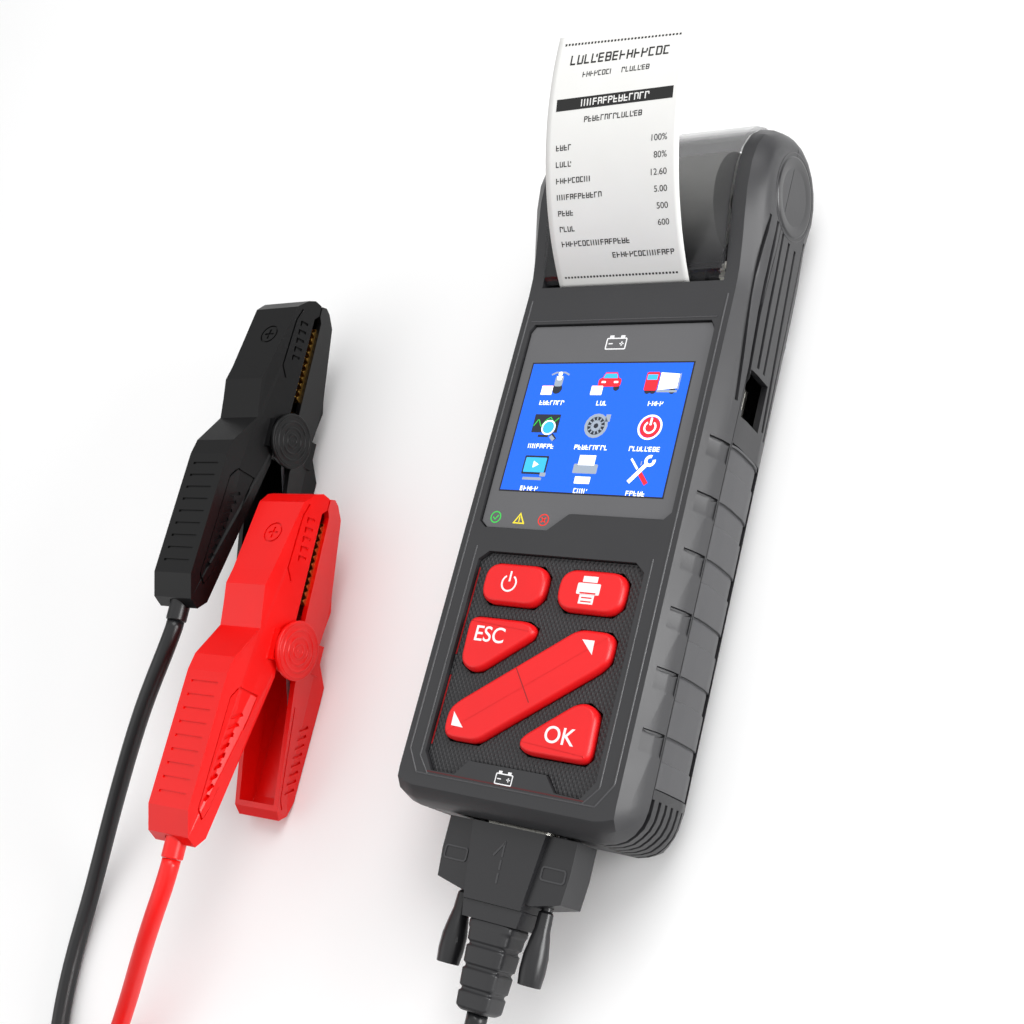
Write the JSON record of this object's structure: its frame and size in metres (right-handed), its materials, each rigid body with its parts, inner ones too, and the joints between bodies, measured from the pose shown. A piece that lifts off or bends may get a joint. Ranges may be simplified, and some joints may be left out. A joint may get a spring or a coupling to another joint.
{
  "type": "battery tester",
  "caption": "Handheld vehicle battery tester with colour display, red keypad, built-in receipt printer and a detachable test lead ending in red and black clamps.",
  "frame": {"origin": "middle of the flat back of the tester, on the surface that it lies on", "axes": "+Z out of the front panel, +Y towards the printer end, +X to the user's right"},
  "size_m": [0.283, 0.6052, 0.0971],
  "materials": {
    "case_front": "fine texture, dark grey",
    "case_rear": "satin, near black",
    "side_grip": "soft, satin, stepped ribs",
    "lens": "printed grey window frame, satin",
    "display": null,
    "keypad_panel": "fine knurl",
    "key": "smooth red silicone, satin",
    "mat": "matt",
    "board": "green solder mask",
    "black_part": "satin",
    "smoky": "clear smoky grey, polished",
    "paper": "smooth thermal paper",
    "steel": "brushed",
    "gold_teeth": "gold plated",
    "gear": "natural nylon",
    "roller": "matt",
    "red_shell": "satin moulded",
    "black_shell": "satin moulded",
    "black_cable": "smooth PVC",
    "red_cable": "smooth PVC"
  },
  "bodies": {
    "tester": {"front_shell": "case_front", "rear_shell": "case_rear", "side_grip_right": "side_grip", "side_grip_left": "side_grip", "display_lens": "lens", "lcd_module": "display", "keypad_panel": "keypad_panel", "keypad_mat": "mat", "main_pcb": "board", "buzzer": "black_part", "case_screw_1": "steel", "case_screw_2": "steel", "case_screw_3": "steel", "case_screw_4": "steel", "printer_frame": "black_part", "print_head": "steel", "tear_bar": "steel", "feed_motor": "steel", "tester_socket": "steel", "usb_socket": "steel", "plug_hood": "black_part", "plug_shell": "steel", "strain_relief": "black_cable", "lead_main": "black_cable", "lead_coil": "black_cable", "lead_rise": "black_cable", "splitter": "black_part", "lead_red": "red_cable", "lead_black": "black_cable", "red_lower_half": "red_shell", "red_lower_jaw": "gold_teeth", "red_pivot_pin": "red_shell", "red_pivot_cap": "red_shell", "red_spring": "steel", "black_lower_half": "black_shell", "black_lower_jaw": "gold_teeth", "black_pivot_pin": "black_shell", "black_pivot_cap": "black_shell", "black_spring": "steel", "cover_hinge_pin": "steel"},
    "cover": {"paper_cover": "smoky", "paper_strip": "paper"},
    "platen": {"platen_roller": "roller", "platen_gear": "gear"},
    "idler": {"idler_gear": "gear"},
    "pinion": {"motor_pinion": "gold_teeth"},
    "roll": {"paper_roll": "paper"},
    "key_power": {"key_power": "key"},
    "key_print": {"key_print": "key"},
    "key_esc": {"key_esc": "key"},
    "key_ok": {"key_ok": "key"},
    "key_updown": {"key_updown": "key"},
    "screw_left": {"thumbscrew_left": "black_part"},
    "screw_right": {"thumbscrew_right": "black_part"},
    "red_grip": {"red_upper_half": "red_shell", "red_upper_jaw": "gold_teeth", "red_boot": "red_cable"},
    "black_grip": {"black_upper_half": "black_shell", "black_upper_jaw": "gold_teeth", "black_boot": "black_cable"}
  },
  "joints": [
    {"name": "cover_hinge", "type": "hinge", "parent": "tester", "child": "cover", "pos_m": [0, 0.1335, 0.0294], "axis": [-1, 0, 0], "range_deg": [0, 80]},
    {"name": "platen_spin", "type": "hinge", "parent": "tester", "child": "platen", "pos_m": [0, 0.0724, 0.0406], "axis": [1, 0, 0], "continuous": true},
    {"name": "idler_spin", "type": "hinge", "parent": "tester", "child": "idler", "pos_m": [0.0378, 0.0608, 0.0304], "axis": [1, 0, 0], "continuous": true},
    {"name": "pinion_spin", "type": "hinge", "parent": "tester", "child": "pinion", "pos_m": [0.0378, 0.0484, 0.0242], "axis": [1, 0, 0], "continuous": true},
    {"name": "roll_spin", "type": "hinge", "parent": "tester", "child": "roll", "pos_m": [0, 0.11, 0.031], "axis": [1, 0, 0], "continuous": true},
    {"name": "key_power_press", "type": "slide", "parent": "tester", "child": "key_power", "axis": [0, 0, -1], "range_m": [0, 0.001], "stiffness_N_per_m": 1500, "springref_m": -0.0002},
    {"name": "key_print_press", "type": "slide", "parent": "tester", "child": "key_print", "axis": [0, 0, -1], "range_m": [0, 0.001], "stiffness_N_per_m": 1500, "springref_m": -0.0002},
    {"name": "key_esc_press", "type": "slide", "parent": "tester", "child": "key_esc", "axis": [0, 0, -1], "range_m": [0, 0.001], "stiffness_N_per_m": 1500, "springref_m": -0.0002},
    {"name": "key_ok_press", "type": "slide", "parent": "tester", "child": "key_ok", "axis": [0, 0, -1], "range_m": [0, 0.001], "stiffness_N_per_m": 1500, "springref_m": -0.0002},
    {"name": "key_updown_rock", "type": "hinge", "parent": "tester", "child": "key_updown", "pos_m": [0, -0.0926, 0.044], "axis": [0.6, -0.8, 0], "range_deg": [-1.2, 1.2], "stiffness_Nm_per_rad": 0.8},
    {"name": "screw_left_turn", "type": "hinge", "parent": "tester", "child": "screw_left", "pos_m": [-0.0172, -0.16, 0.028], "axis": [0, -1, 0], "continuous": true},
    {"name": "screw_right_turn", "type": "hinge", "parent": "tester", "child": "screw_right", "pos_m": [0.0172, -0.16, 0.028], "axis": [0, -1, 0], "continuous": true},
    {"name": "red_clamp_open", "type": "hinge", "parent": "tester", "child": "red_grip", "pos_m": [-0.1297, -0.0881, 0.0291], "axis": [0.9994, 0.0349, 0], "range_deg": [0, 26], "stiffness_Nm_per_rad": 0.9, "springref_deg": -20.05},
    {"name": "black_clamp_open", "type": "hinge", "parent": "tester", "child": "black_grip", "pos_m": [-0.1703, 0.006, 0.0291], "axis": [0.9994, 0.0349, 0], "range_deg": [0, 26], "stiffness_Nm_per_rad": 0.9, "springref_deg": -20.05}
  ],
  "couplings": [
    {"joint": "idler_spin", "follows": "platen_spin", "ratio": -0.75},
    {"joint": "pinion_spin", "follows": "platen_spin", "ratio": 1.3636},
    {"joint": "roll_spin", "follows": "platen_spin", "ratio": -0.21395}
  ]
}
